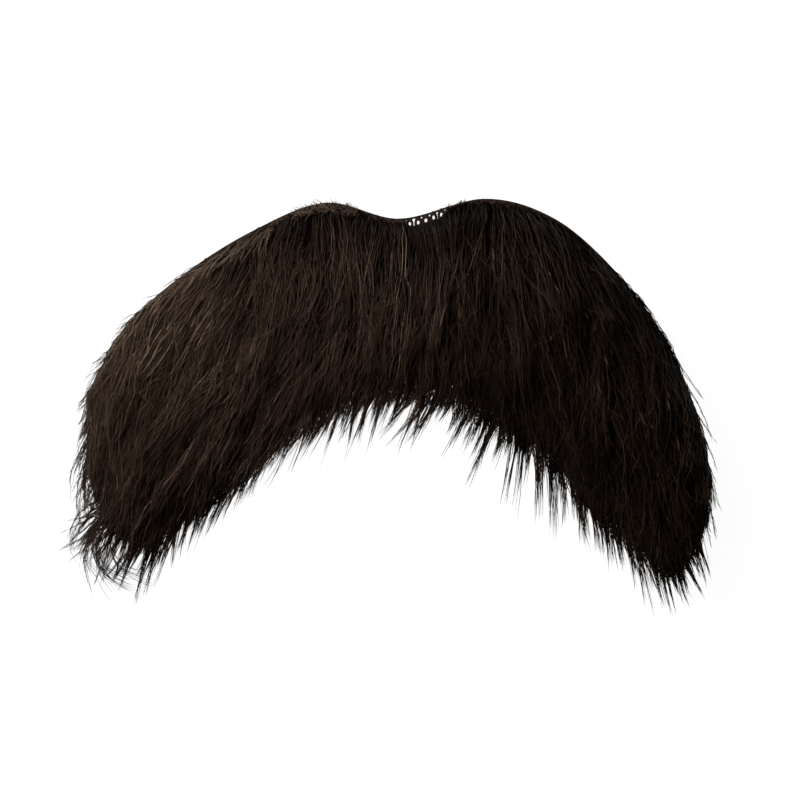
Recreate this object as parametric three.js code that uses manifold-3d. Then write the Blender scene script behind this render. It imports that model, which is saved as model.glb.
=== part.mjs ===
// A costume moustache, lying flat on its back: a cut piece of cloth that carries a deep pile of long hair.
// The hair is combed down from the nose and out towards both ends, and its lower edge hangs free in locks.
// Millimetres. +X is the wearer's left, +Y is up towards the nose, +Z is out from the face.
import * as THREE from "three";
import { mergeVertices } from "three/addons/utils/BufferGeometryUtils.js";
import Module from "manifold-3d";

const wasm = await Module();
wasm.setup();

// Driving sizes
const HAIR_WIDTH = 133; // across the combed hair, from one outer edge to the other
const HAIR_HEIGHT = 84; // from the tops of the two lobes down to the lowest ends
const PILE_LOFT = 9.5; // how far the combed pile stands above the cloth at its fullest
const BACKING_THICKNESS = 1;
const BACKING_MARGIN = 0.4; // cloth that shows past the roots along the top edge
const BACKING_REACH = 0.92; // share of the band, from top edge to hem, that the cloth lies under
const BACKING_POINT = 6; // how late, towards each end, the cloth widens to the hem: a power
const SEAT_GAP = 0.3; // between the cloth and the solid hair above it
const LOCK_LENGTH = 27;
const LOCK_WIDTH = 8;
const LOCK_THICKNESS = 3.4;
const LOCK_SPACING = 6.7; // from one lock to the next along a row

// Sections of the band from the left end to the right end. x is a share of half of HAIR_WIDTH, y a share of
// HAIR_HEIGHT up from the lowest end, loft a share of PILE_LOFT. The comb angles are in degrees from straight
// down, and a negative one leans left: combTop at the top edge, combHem at the hem. lock is a share of a full
// lock's length and width.
const SECTIONS = [
  { topX: -0.89, topY: 0.22, hemX: -0.76, hemY: 0.13, loft: 0.52, combTop: -18, combHem: -26, lock: 0.55 },
  { topX: -0.94, topY: 0.35, hemX: -0.66, hemY: 0.2, loft: 0.74, combTop: -10, combHem: -25, lock: 0.62 },
  { topX: -0.93, topY: 0.52, hemX: -0.52, hemY: 0.27, loft: 0.88, combTop: -16, combHem: -27, lock: 0.74 },
  { topX: -0.83, topY: 0.68, hemX: -0.38, hemY: 0.36, loft: 0.96, combTop: -26, combHem: -27, lock: 0.88 },
  { topX: -0.65, topY: 0.81, hemX: -0.27, hemY: 0.43, loft: 1, combTop: -28, combHem: -23, lock: 1 },
  { topX: -0.43, topY: 0.92, hemX: -0.17, hemY: 0.48, loft: 1, combTop: -20, combHem: -15, lock: 1 },
  { topX: -0.2, topY: 0.99, hemX: -0.07, hemY: 0.505, loft: 0.94, combTop: -8, combHem: -8, lock: 1 },
  { topX: 0.035, topY: 0.95, hemX: 0.04, hemY: 0.515, loft: 0.86, combTop: 0, combHem: -8, lock: 1 },
  { topX: 0.3, topY: 1, hemX: 0.15, hemY: 0.505, loft: 0.94, combTop: 6, combHem: -12, lock: 1 },
  { topX: 0.52, topY: 0.95, hemX: 0.28, hemY: 0.47, loft: 1, combTop: 18, combHem: -6, lock: 1 },
  { topX: 0.71, topY: 0.82, hemX: 0.42, hemY: 0.4, loft: 1, combTop: 24, combHem: 8, lock: 1 },
  { topX: 0.86, topY: 0.66, hemX: 0.56, hemY: 0.31, loft: 0.96, combTop: 22, combHem: 16, lock: 0.9 },
  { topX: 0.96, topY: 0.48, hemX: 0.69, hemY: 0.2, loft: 0.86, combTop: 9, combHem: 18, lock: 0.76 },
  { topX: 1, topY: 0.31, hemX: 0.8, hemY: 0.11, loft: 0.72, combTop: 1, combHem: 16, lock: 0.64 },
  { topX: 0.98, topY: 0.18, hemX: 0.89, hemY: 0.07, loft: 0.5, combTop: -2, combHem: 12, lock: 0.56 },
];

// How the pile rises across the band. across runs from the top edge, 0, to the hem, 1.
const PILE_PROFILE = [
  { across: 0, rise: 0.2 },
  { across: 0.04, rise: 0.5 },
  { across: 0.13, rise: 0.8 },
  { across: 0.3, rise: 0.98 },
  { across: 0.5, rise: 1 },
  { across: 0.7, rise: 0.84 },
  { across: 0.88, rise: 0.56 },
  { across: 1, rise: 0.24 },
];

// Rows of locks, from the hem up. across is where a row is rooted; length and width are shares of a full lock.
const LOCK_ROWS = [
  { across: 0.88, length: 0.46, width: 0.8, start: 0.1 },
  { across: 0.64, length: 0.74, width: 1, start: 0.6 },
  { across: 0.4, length: 0.95, width: 1, start: 0.2 },
  { across: 0.15, length: 0.9, width: 1, start: 0.7 },
];

// The shape of one lock from its root to the last section before its tip. breadth is a share of its width and
// thickness, lift how far its middle stands off the pile below, as a share of its thickness.
const LOCK_SHAPE = [
  { along: 0, breadth: 0.5, lift: -0.75 },
  { along: 0.2, breadth: 0.9, lift: -0.3 },
  { along: 0.48, breadth: 1, lift: 0.12 },
  { along: 0.78, breadth: 0.66, lift: 0.3 },
];
const LOCK_TIP = { along: 1, breadth: 0.02, lift: 0.2 };
const LOCK_SIDES = 5;
const LOCK_CURVE = 10; // most degrees that a lock turns along its length
const LENGTH_SPREAD = 0.3; // share of its length by which one lock differs from the next
const HEADING_SPREAD = 9; // degrees, likewise

const BAND_STEPS = 44;
const FIELD_STEPS_ALONG = 90;
const FIELD_STEPS_ACROSS = 16;
const HEM_OVERHANG = 0.35; // share of the band past the hem over which the pile falls to nothing
const WELD = 1e-4; // points closer than this are one
const HAIR_UNDERSIDE = BACKING_THICKNESS + SEAT_GAP;

const edgeCurve = (x, y) =>
  new THREE.SplineCurve(
    SECTIONS.map((s) => new THREE.Vector2((s[x] * HAIR_WIDTH) / 2, s[y] * HAIR_HEIGHT)),
  );
const topEdge = edgeCurve("topX", "topY");
const hemEdge = edgeCurve("hemX", "hemY");

// A column of a table at a place between its rows, in a straight line from row to row.
function between(table, key, column, at) {
  const next = Math.max(1, table.findIndex((row) => row[key] >= at));
  const a = table[next - 1];
  const b = table[next];
  return THREE.MathUtils.mapLinear(at, a[key], b[key], a[column], b[column]);
}

// A column of SECTIONS at a share of the way from the left end to the right end.
function sectionValue(column, along) {
  const place = along * (SECTIONS.length - 1);
  const row = Math.min(Math.floor(place), SECTIONS.length - 2);
  return THREE.MathUtils.lerp(SECTIONS[row][column], SECTIONS[row + 1][column], place - row);
}

// The point of the band at along, from end to end, and across, from the top edge to the hem and past it.
const bandPoint = (along, across) =>
  topEdge.getPoint(along).lerp(hemEdge.getPoint(along), across);

// How high the pile stands over the hair's underside there.
function pileHeight(along, across) {
  const loft = PILE_LOFT * sectionValue("loft", along);
  if (across <= 1) return loft * between(PILE_PROFILE, "across", "rise", across);
  const hemRise = PILE_PROFILE.at(-1).rise;
  return loft * hemRise * Math.max(0, 1 - (across - 1) / HEM_OVERHANG);
}

// The band as a field of points, so that the height and comb angle can be read anywhere over it.
const field = [];
for (let i = 0; i <= FIELD_STEPS_ALONG; i++) {
  for (let j = 0; j <= FIELD_STEPS_ACROSS; j++) {
    const along = i / FIELD_STEPS_ALONG;
    const across = (j / FIELD_STEPS_ACROSS) * (1 + HEM_OVERHANG);
    field.push({ point: bandPoint(along, across), along, across, height: pileHeight(along, across) });
  }
}
const nearest = (point) =>
  field.reduce((best, f) =>
    f.point.distanceToSquared(point) < best.point.distanceToSquared(point) ? f : best,
  );

function combAngle(along, across) {
  const top = sectionValue("combTop", along);
  const hem = sectionValue("combHem", along);
  return THREE.MathUtils.lerp(top, hem, Math.min(across, 1));
}

// A repeatable number from -1 to 1 for each lock and each use of it.
const SCATTER = { lock: 12.9898, use: 78.233, scale: 43758.5453 };
function jitter(lock, use) {
  const wave = Math.sin(lock * SCATTER.lock + use * SCATTER.use) * SCATTER.scale;
  return 2 * (wave - Math.floor(wave)) - 1;
}

// A closed solid from rings of points, capped at both ends. Each ring runs the same way round.
function loft(rings) {
  const count = rings[0].length;
  const positions = [];
  const face = (...corners) => corners.forEach((c) => positions.push(c.x, c.y, c.z));
  for (let r = 0; r + 1 < rings.length; r++) {
    for (let i = 0; i < count; i++) {
      const j = (i + 1) % count;
      face(rings[r][i], rings[r][j], rings[r + 1][j]);
      face(rings[r][i], rings[r + 1][j], rings[r + 1][i]);
    }
  }
  const last = rings.at(-1);
  for (let i = 1; i + 1 < count; i++) {
    face(rings[0][0], rings[0][i + 1], rings[0][i]);
    face(last[0], last[i], last[i + 1]);
  }
  return positions;
}

// A geometry as a manifold solid, and back.
function solidOf(positions) {
  const geometry = new THREE.BufferGeometry();
  geometry.setAttribute("position", new THREE.Float32BufferAttribute(positions, 3));
  const merged = mergeVertices(geometry, WELD);
  return new wasm.Manifold(
    new wasm.Mesh({
      numProp: 3,
      vertProperties: merged.getAttribute("position").array,
      triVerts: new Uint32Array(merged.index.array),
    }),
  );
}

// All the solids as one. The small pockets that they close off between them are filled.
function fused(solids) {
  const shells = solids.reduce((all, solid) => all.add(solid)).decompose();
  return shells.reduce((a, b) => (b.volume() > a.volume() ? b : a));
}

function geometryOf(solid) {
  const mesh = solid.getMesh();
  const geometry = new THREE.BufferGeometry();
  geometry.setAttribute("position", new THREE.BufferAttribute(mesh.vertProperties, 3));
  geometry.setIndex(new THREE.BufferAttribute(mesh.triVerts, 1));
  geometry.computeVertexNormals();
  return geometry;
}

// The mass of the pile that the locks grow from.
function pileBody() {
  const rings = [];
  for (let i = 0; i <= BAND_STEPS; i++) {
    const along = i / BAND_STEPS;
    const under = [1, 0].map((across) => {
      const p = bandPoint(along, across);
      return new THREE.Vector3(p.x, p.y, HAIR_UNDERSIDE);
    });
    const over = PILE_PROFILE.map(({ across }) => {
      const p = bandPoint(along, across);
      return new THREE.Vector3(p.x, p.y, HAIR_UNDERSIDE + pileHeight(along, across));
    });
    rings.push([...under, ...over]);
  }
  return solidOf(loft(rings));
}

// One tapering lock that leaves the pile at its root and lies along it, combed the way the hair runs there.
function lock(number, along, row) {
  const share = row.length * sectionValue("lock", along);
  const length = LOCK_LENGTH * share * (1 + LENGTH_SPREAD * jitter(number, 1));
  const width = LOCK_WIDTH * row.width * sectionValue("lock", along);
  const comb = combAngle(along, row.across) + HEADING_SPREAD * jitter(number, 2);
  const turn = LOCK_CURVE * jitter(number, 3);
  const place = bandPoint(along, row.across);
  const rings = [];
  let before = 0;
  for (const station of [...LOCK_SHAPE, LOCK_TIP]) {
    const angle = THREE.MathUtils.degToRad(comb + turn * station.along);
    const ahead = new THREE.Vector2(Math.sin(angle), -Math.cos(angle));
    place.addScaledVector(ahead, (station.along - before) * length);
    before = station.along;
    const halfWidth = (width / 2) * station.breadth;
    const halfThickness = (LOCK_THICKNESS / 2) * station.breadth;
    const onPile = nearest(place).height + LOCK_THICKNESS * station.lift;
    const middle = HAIR_UNDERSIDE + Math.max(onPile, halfThickness);
    rings.push(
      Array.from({ length: LOCK_SIDES }, (_, side) => {
        const round = (2 * Math.PI * side) / LOCK_SIDES;
        const out = halfWidth * Math.cos(round);
        const up = halfThickness * Math.sin(round);
        return new THREE.Vector3(place.x - ahead.y * out, place.y + ahead.x * out, middle + up);
      }),
    );
  }
  return solidOf(loft(rings));
}

function allLocks() {
  const locks = [];
  for (const row of LOCK_ROWS) {
    const line = new THREE.SplineCurve(
      SECTIONS.map((_, i) => bandPoint(i / (SECTIONS.length - 1), row.across)),
    );
    const count = Math.round(line.getLength() / LOCK_SPACING);
    for (let i = 0; i < count; i++) locks.push(lock(locks.length, (i + row.start) / count, row));
  }
  return locks;
}

// The cloth: it follows the top edge, shows a little past it, and stops short of the hem except at the ends.
function backingGeometry() {
  const outline = [];
  for (let i = 0; i <= BAND_STEPS; i++) {
    const along = i / BAND_STEPS;
    const inward = bandPoint(along, 1).sub(bandPoint(along, 0)).normalize();
    outline.push(bandPoint(along, 0).addScaledVector(inward, -BACKING_MARGIN));
  }
  for (let i = BAND_STEPS; i >= 0; i--) {
    const along = i / BAND_STEPS;
    const fromMiddle = Math.abs(2 * along - 1);
    const reach = THREE.MathUtils.lerp(BACKING_REACH, 1, fromMiddle ** BACKING_POINT);
    outline.push(bandPoint(along, reach));
  }
  return new THREE.ExtrudeGeometry(new THREE.Shape(outline), {
    depth: BACKING_THICKNESS,
    bevelEnabled: false,
  });
}

const clothMaterial = new THREE.MeshStandardMaterial({ color: 0x2a1c16, roughness: 0.95, metalness: 0 });
const hairMaterial = new THREE.MeshStandardMaterial({ color: 0x1e1612, roughness: 0.6, metalness: 0 });

const backing = new THREE.Mesh(backingGeometry(), clothMaterial);
backing.name = "backing";

const hair = new THREE.Mesh(geometryOf(fused([pileBody(), ...allLocks()])), hairMaterial);
hair.name = "hair";

const moustache = new THREE.Group();
moustache.add(backing, hair);
moustache.updateMatrixWorld(true);

// The origin is under the middle of the whole piece, on the plane that its back lies on.
const extent = new THREE.Box3().setFromObject(moustache, true);
moustache.position.set(-(extent.min.x + extent.max.x) / 2, -(extent.min.y + extent.max.y) / 2, 0);

export default moustache;
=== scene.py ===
"""A costume moustache, laid flat on its back: a cut piece of knitted cloth that carries long combed hair.

Metres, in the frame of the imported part: +X to the wearer's left, +Y up towards the nose, +Z out of the cloth.
"""

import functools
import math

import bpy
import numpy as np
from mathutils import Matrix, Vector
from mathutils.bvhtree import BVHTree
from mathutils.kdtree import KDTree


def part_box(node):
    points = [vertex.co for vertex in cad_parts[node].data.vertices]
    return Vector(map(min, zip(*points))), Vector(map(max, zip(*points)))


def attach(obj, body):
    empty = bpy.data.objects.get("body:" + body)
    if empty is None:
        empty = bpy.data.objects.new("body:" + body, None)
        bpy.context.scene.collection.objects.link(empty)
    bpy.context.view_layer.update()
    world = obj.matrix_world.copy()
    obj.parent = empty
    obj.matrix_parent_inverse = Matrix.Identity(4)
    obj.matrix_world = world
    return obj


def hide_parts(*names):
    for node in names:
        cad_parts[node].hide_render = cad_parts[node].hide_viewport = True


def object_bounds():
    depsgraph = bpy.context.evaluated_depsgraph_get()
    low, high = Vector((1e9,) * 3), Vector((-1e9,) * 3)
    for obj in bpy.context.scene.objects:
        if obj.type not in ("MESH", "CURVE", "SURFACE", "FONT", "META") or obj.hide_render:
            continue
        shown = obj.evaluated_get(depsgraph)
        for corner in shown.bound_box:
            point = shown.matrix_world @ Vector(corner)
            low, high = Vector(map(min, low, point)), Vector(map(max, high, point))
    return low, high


bl_info = {
    "name": "Costume Moustache",
    "version": (1, 0, 0),
    "blender": (4, 5, 0),
    "location": "View3D > Sidebar > Moustache",
    "description": "Makes a costume moustache of long dark hair on a knitted cloth",
    "category": "Object",
}

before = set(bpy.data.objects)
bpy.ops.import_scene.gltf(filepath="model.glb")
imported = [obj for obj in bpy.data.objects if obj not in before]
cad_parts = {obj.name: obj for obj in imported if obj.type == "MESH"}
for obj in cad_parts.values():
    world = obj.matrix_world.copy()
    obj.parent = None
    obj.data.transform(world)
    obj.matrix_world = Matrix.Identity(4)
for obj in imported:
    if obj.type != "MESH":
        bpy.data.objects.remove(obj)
CAD_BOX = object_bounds()
CLOTH_LOW, CLOTH_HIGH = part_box("backing")
HAIR_LOW, HAIR_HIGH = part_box("hair")

MM = 0.001
CLOTH_TOP = CLOTH_HIGH.z
CLOTH_THICKNESS = CLOTH_HIGH.z - CLOTH_LOW.z

# Sections of the band of cloth and hair from the left end to the right end, as shares of its size. top is
# its outer edge and hem its lower one. The comb angles are in degrees from straight down, and a negative one
# leans left; rim_comb is that of the wisps past the rim. length is a share of a full hair. reach is about how
# far such a wisp passes the rim, and stray about how far hairs pass the outer edge, in millimetres; single
# ones differ. tone is added to a hair's own, so a negative one is darker: it is painted light and shade,
# a little lighter near the middle and darker towards the right end, away from the key light.
SECTIONS = {
    "top_x": (-0.89, -0.94, -0.93, -0.83, -0.65, -0.43, -0.2, 0.035, 0.3, 0.52, 0.71, 0.86, 0.96, 1, 0.98),
    "top_y": (0.22, 0.35, 0.52, 0.68, 0.81, 0.92, 0.99, 0.95, 1, 0.95, 0.82, 0.66, 0.48, 0.31, 0.18),
    "hem_x": (-0.76, -0.66, -0.52, -0.38, -0.27, -0.17, -0.07, 0.04, 0.15, 0.28, 0.42, 0.56, 0.69, 0.8, 0.89),
    "hem_y": (0.13, 0.2, 0.27, 0.36, 0.43, 0.48, 0.505, 0.515, 0.505, 0.47, 0.4, 0.31, 0.2, 0.11, 0.07),
    "comb_top": (-18, -10, -16, -26, -28, -20, -8, 0, 6, 18, 24, 22, 9, 1, -2),
    "comb_hem": (-26, -25, -27, -27, -23, -15, -8, -8, -12, -6, 8, 16, 18, 16, 12),
    "rim_comb": (-20, -22, -27, -28, -26, -20, -20, -27, -30, -27, -8, 4, 10, 15, 22),
    "length": (0.55, 0.62, 0.74, 0.88, 1, 1, 1, 1, 1, 1, 1, 0.9, 0.76, 0.64, 0.56),
    "reach": (9, 12, 8, 4.4, 3.4, 7, 7, 8.6, 11.5, 11.6, 14, 11.6, 6, 10, 6.4),
    "stray": (0.6, 0.7, 1, 0.9, 0.5, 0.3, 0.2, 0.2, 0.2, 0.2, 0.4, 0.5, 0.7, 0.3, 0.2),
    # painted light and shade: a little lighter near the middle, darker towards the right end
    "tone": (0, 0, 0, 0, 0, 0, 0.04, 0.02, -0.16, -0.3, -0.26, -0.16, -0.2, -0.36, -0.4),
}
EDGE_MARGIN = 0.4 * MM  # cloth past the roots along the top edge
CLOTH_REACH = 0.92  # share of the band, from top edge to hem, that the cloth lies under
CLOTH_POINT = 6  # how late, towards each end, the cloth widens to the hem: a power

# Maps of the height, the comb and so on, over the floor
CELL = 0.5 * MM
MAP_EDGE = 20 * MM  # how far the maps run past the CAD box
LOOKUP_ALONG = 300
LOOKUP_ACROSS = 84
LOOKUP_PAST_HEM = 1.5

# How long a hair is by where it is rooted, from the top edge, 0, to the hem, 1, as a share of a full one
ROOT_ACROSS = (0, 0.15, 0.4, 0.64, 0.88, 1)
ROOT_LENGTH = (0.86, 0.95, 1, 0.96, 0.82, 0.7)

OUTER_SIDE = 0.15  # share of the band, from its top edge, where hairs that leave it pass the outer edge
# The free rim of the hair, as along and across: down the left end, along the hem and up the right end
RIM = ((0, 0.1), (0, 1), (1, 1), (1, 0.1))
RIM_STEPS = 300
PINCH_START = 3.5 * MM  # how far before the rim its hairs begin to meet in wisps
PINCH_END = 2.5 * MM  # how far past it they have met
LOOP_STRETCH = (0.504, 0.539)  # from end to end, the stretch of top edge that ends in open loops of thread
LOOP_DEPTH = 1.8 * MM  # how far the close-knit cloth stands back there
LOOP_LENGTH = (0.52, 0.64)  # a loop's length along the edge, as a share of the pattern's
LOOP_TALLNESS = (0.8, 1)  # its height across the edge, as a share of the pattern's
LOOP_INWARD = (0.4, 0.5)  # how far its middle lies in from the edge, as a share of the pattern's height
LOOP_SHAKE = 0.12  # how far it is moved along the edge, as a share of the spacing
LOOP_TILT = 0.2  # how far it leans, in radians
LOOP_FLATNESS = 0.45  # the loops' thread is pressed flat, to this share of its width
LOOP_EASE = 0.004  # how far inside each end of that stretch, from end to end, the cloth is fully back
EDGE_THREAD_STRETCH = (0.498, 0.545)  # from end to end, where one thread runs along the outside of the loops
EDGE_THREAD_RINGS = 16
EDGE_ZONE = 0.07  # share of the band over which edge hairs bow out
KINK_LENGTH = 14 * MM  # a shorter hair kinks less
PATH_STEPS = 14
RINGS = (0, 0.08, 0.19, 0.32, 0.46, 0.6, 0.74, 0.88)  # shares of a hair where its rings lie; its tip is at 1
TAPER = (0.9, 1, 1, 1, 0.95, 0.85, 0.7, 0.48)  # its thickness there
CURL_RINGS = (0, 0.08, 0.18, 0.29, 0.41, 0.53, 0.65, 0.77, 0.89)
SIDES = 3

# How much the wisps differ, and the hairs within a wisp. lean, turn and sway are in degrees, lift is in
# millimetres, shake is in wisp spacings, and the rest are shares.
WISP = {"sway": 9, "lean": 5, "turn": 12, "length": (0.85, 1.12), "lift": 0.9, "tone": 0.17, "waves": (1, 2.2)}
HAIR = {"shake": 0.35, "lean": 3.5, "turn": 8, "length": (0.75, 1.1), "thickness": (0.7, 1.25)}
RIM_WISP = {"lean": 7, "reach": (0.35, 1.35)}
HEM_ALLOWED = 0.8 * MM  # every combed hair may pass the hem by this
LEAST_PILE = 1.3 * MM  # hair stands in at least this depth, also past the solid
FREE_HEIGHT = 0.3 * MM  # under the hair where there is no cloth
FLOOR_GAP = 0.12 * MM  # no hair is lower than this
RISING = 0.26  # share of a hair over which it rises from its root into the pile
UNDER_ENDS = 0.012  # share of the band, from end to end, that the under hair leaves free at each end
UNDER_SIDES = 0.04  # the same across the band, at each side
UNDER_DEPTH = 0.5  # its height, as a share of the solid's

# The stage
KEY_LIGHT = {"place": (-0.07, 0.06, 0.095), "size": 0.08, "power": 0.33}
FILL_LIGHT = {"place": (-0.3, -0.3, 1), "size": 1, "power": 0.1}
ROOM_LIGHT = 0.045  # how strongly the room lights the hair
ROOM_SEEN = 0.9  # how bright it looks to the camera
FLOOR_GLOW = 0.97
VIEW_WIDTH = 0.168  # of what the camera sees at the floor

# The long hairs of the fringe: how far inside the rim they are rooted, and how far to each side the hairs of
# one wisp spread at its root, near the rim and at its tip
FRINGE_ROOT = (6 * MM, 15 * MM)
FRINGE_RINGS = (0, 0.15, 0.31, 0.47, 0.62, 0.76, 0.89)
FRINGE_SPREAD = {"share": (0, 0.5, 1), "width": (1.3 * MM, 0.6 * MM, 0.08 * MM)}
TONE_WIDTH = 0.006  # of the colour map that one side of a hair takes

# Pieces of hair, each up to a share of the way from the left end to the right end
HAIR_PIECES = (
    {"name": "left_end_hair", "to": 0.22},
    {"name": "left_wing_hair", "to": 0.4},
    {"name": "middle_hair", "to": 0.6},
    {"name": "right_wing_hair", "to": 0.78},
    {"name": "right_end_hair", "to": 1},
)

# Loose hairs, in strands of a few hairs each. along and across are where they are rooted. lean is in degrees
# from the comb, and turn, in degrees too, how far they bend on. length, reach past the outline, spread between
# the hairs of a strand, lift of their tips and kink are in millimetres. tone runs from the darkest hair, 0, to
# the lightest, 1.
LOOSE_HAIRS = (
    {"strands": 44, "hairs": 5, "along": (0, 0.03), "across": (0, 0.5), "length": (16, 26),
     "lean": (-66, -8), "turn": (-30, 150), "reach": (9, 16), "spread": 0.1, "lift": (-2.5, 0),
     "kink": 0.1, "tone": (0.2, 0.8)},
    {"strands": 34, "hairs": 4, "along": (0.01, 0.11), "across": (0, 0.08), "length": (14, 24),
     "lean": (-34, -8), "turn": (-10, 80), "reach": (3.5, 8), "spread": 0.18, "lift": (-2, 0.5),
     "kink": 0.2, "tone": (0.2, 0.8)},
    {"strands": 9, "hairs": 9, "along": (0, 0.07), "across": (0.45, 0.9), "length": (20, 26),
     "lean": (-20, 22), "turn": (-12, 12), "reach": (9, 14), "spread": 0.3, "lift": (-1.5, 0),
     "kink": 0.06, "tone": (0.1, 0.6)},
    {"strands": 34, "hairs": 4, "along": (0.06, 0.2), "across": (0, 0.05), "length": (10, 20),
     "lean": (-22, -6), "turn": (0, 50), "reach": (1, 4), "spread": 0.16, "lift": (-2, 1),
     "kink": 0.12, "tone": (0.2, 0.8)},
    {"strands": 170, "hairs": 2, "along": (0.14, 0.38), "across": (0, 0.05), "length": (4, 11),
     "lean": (-48, -8), "turn": (0, 60), "reach": (0.8, 3), "spread": 0.15, "lift": (0.5, 3),
     "kink": 0.1, "tone": (0.5, 1)},
    {"strands": 200, "hairs": 1, "along": (0.4, 0.462), "across": (0, 0.05), "length": (1.2, 3.4),
     "lean": (-170, -60), "turn": (-60, 100), "reach": (0.3, 1.5), "spread": 0, "lift": (0.3, 1.5),
     "kink": 0.08, "tone": (0.6, 0.95)},
    {"strands": 30, "hairs": 1, "along": (0.536, 0.555), "across": (0, 0.01), "length": (0.9, 1.6),
     "lean": (130, 210), "turn": (-40, 40), "reach": (0.3, 0.9), "spread": 0, "lift": (0, 0.3),
     "kink": 0.05, "tone": (0.5, 0.9)},
    {"strands": 30, "hairs": 3, "along": (0.76, 0.98), "across": (0, 0.05), "length": (10, 20),
     "lean": (8, 26), "turn": (-25, 5), "reach": (1.5, 5), "spread": 0.12, "lift": (-2, 1.5),
     "kink": 0.1, "tone": (0, 0.5)},
    # painted highlight: short light hairs, lifted on top of the pile, stand in for glints of light on the right
    # lobe
    {"strands": 22, "hairs": 2, "along": (0.57, 0.87), "across": (0.18, 0.6), "length": (2, 4),
     "lean": (-14, 14), "turn": (-20, 20), "reach": (0, 1), "spread": 0.08, "lift": (1.5, 2.5),
     "kink": 0.05, "tone": (0.85, 1)},
    {"strands": 460, "hairs": 1, "along": (0.05, 0.97), "across": (0.1, 0.6), "length": (10, 20),
     "lean": (-40, 40), "turn": (-60, 60), "reach": (0, 2), "spread": 0, "lift": (0.5, 3.5),
     "kink": 0.3, "tone": (0.2, 0.8)},
)

HAIR_TONES = (
    (0, (0.008, 0.0046, 0.003)),
    (0.4, (0.027, 0.0158, 0.0102)),
    (0.62, (0.045, 0.0262, 0.018)),
    (0.8, (0.062, 0.04, 0.0275)),
    (1, (0.13, 0.094, 0.066)),
)


class MoustacheSizes(bpy.types.PropertyGroup):
    """Sizes of the moustache's hair and cloth."""

    hair_count: bpy.props.IntProperty(
        name="Hairs", description="Combed hairs rooted all over the cloth", default=16300, min=1000
    )
    hair_length: bpy.props.FloatProperty(
        name="Hair length", description="Longest combed hair", default=27 * MM, unit="LENGTH"
    )
    hair_thickness: bpy.props.FloatProperty(
        name="Hair thickness", description="Across one hair near its root", default=0.19 * MM, unit="LENGTH"
    )
    wisp_spacing: bpy.props.FloatProperty(
        name="Wisp spacing", description="From one wisp of hairs to the next", default=2.1 * MM, unit="LENGTH"
    )
    gathering: bpy.props.FloatProperty(
        name="Gathering", description="How far the hairs of a wisp meet at its tip", default=0.88,
        subtype="FACTOR",
    )
    kink: bpy.props.FloatProperty(
        name="Kink", description="How far a hair strays from its line", default=0.2 * MM, unit="LENGTH"
    )
    wave: bpy.props.FloatProperty(
        name="Wave", description="How far the hairs of a wisp swing to each side", default=0.38 * MM,
        unit="LENGTH",
    )
    rim_spacing: bpy.props.FloatProperty(
        name="Fringe wisps", description="From one wisp of the fringe to the next", default=1.2 * MM,
        unit="LENGTH",
    )
    fringe_hairs: bpy.props.IntProperty(
        name="Fringe hairs", description="Long hairs in each wisp of the fringe", default=9, min=1
    )
    edge_hair_count: bpy.props.IntProperty(
        name="Edge hairs", description="Hairs rooted along the cloth's top edge", default=1100, min=0
    )
    edge_bulge: bpy.props.FloatProperty(
        name="Edge bulge", description="How far the edge hairs bow out, where the outer hair strays by 1 mm",
        default=0.9 * MM, unit="LENGTH",
    )
    loop_spacing: bpy.props.FloatProperty(
        name="Edge loops", description="From one loop of the cloth's edge to the next", default=1.7 * MM,
        unit="LENGTH",
    )
    loop_height: bpy.props.FloatProperty(
        name="Loop height", description="Of one loop, across the edge", default=1.9 * MM, unit="LENGTH"
    )
    thread_thickness: bpy.props.FloatProperty(
        name="Thread width", description="Thread of the cloth's edge loops", default=1.2 * MM, unit="LENGTH"
    )


class MoustacheColours(bpy.types.PropertyGroup):
    """Colours of the moustache's cloth and the floor."""

    cloth: bpy.props.FloatVectorProperty(
        name="Cloth", description="Knitted cloth", default=(0.024, 0.0155, 0.0115), subtype="COLOR", size=3
    )
    cloth_gap: bpy.props.FloatVectorProperty(
        name="Between stitches", description="Shade between the cloth's stitches",
        default=(0.008, 0.005, 0.004), subtype="COLOR", size=3,
    )
    floor: bpy.props.FloatVectorProperty(
        name="Floor", description="What the pale floor adds to its own soft glow", default=(0.12, 0.12, 0.12),
        subtype="COLOR", size=3,
    )


def sizes():
    return bpy.context.scene.moustache_sizes


def colours():
    return bpy.context.scene.moustache_colours


def through(column, along):
    """A smooth curve through a column of SECTIONS, read at shares of the way from end to end."""
    values = np.array(SECTIONS[column], float)
    last = len(values) - 1
    place = np.clip(along, 0, 1) * last
    row = np.minimum(place.astype(int), last - 1)
    t = place - row
    before, here, ahead, beyond = (values[np.clip(row + k, 0, last)] for k in (-1, 0, 1, 2))
    leaving, arriving = (ahead - before) / 2, (beyond - here) / 2
    cubic = (2 * here - 2 * ahead + leaving + arriving) * t**3
    square = (3 * ahead - 3 * here - 2 * leaving - arriving) * t**2
    return cubic + square + leaving * t + here


def straight(column, along):
    """A column of SECTIONS, in straight lines from row to row."""
    values = np.array(SECTIONS[column], float)
    return np.interp(along, np.linspace(0, 1, len(values)), values)


def unit_band(along, across):
    """Points of the band in shares of its size: along runs from end to end, across from top edge to hem."""
    top = np.stack([through("top_x", along), through("top_y", along)], axis=-1)
    hem = np.stack([through("hem_x", along), through("hem_y", along)], axis=-1)
    return top + (hem - top) * np.asarray(across)[..., None]


def cloth_reach(along):
    """How far across the band the cloth lies: short of the hem, except at the two ends."""
    from_middle = np.abs(2 * along - 1) ** CLOTH_POINT
    return CLOTH_REACH + (1 - CLOTH_REACH) * from_middle


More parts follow.
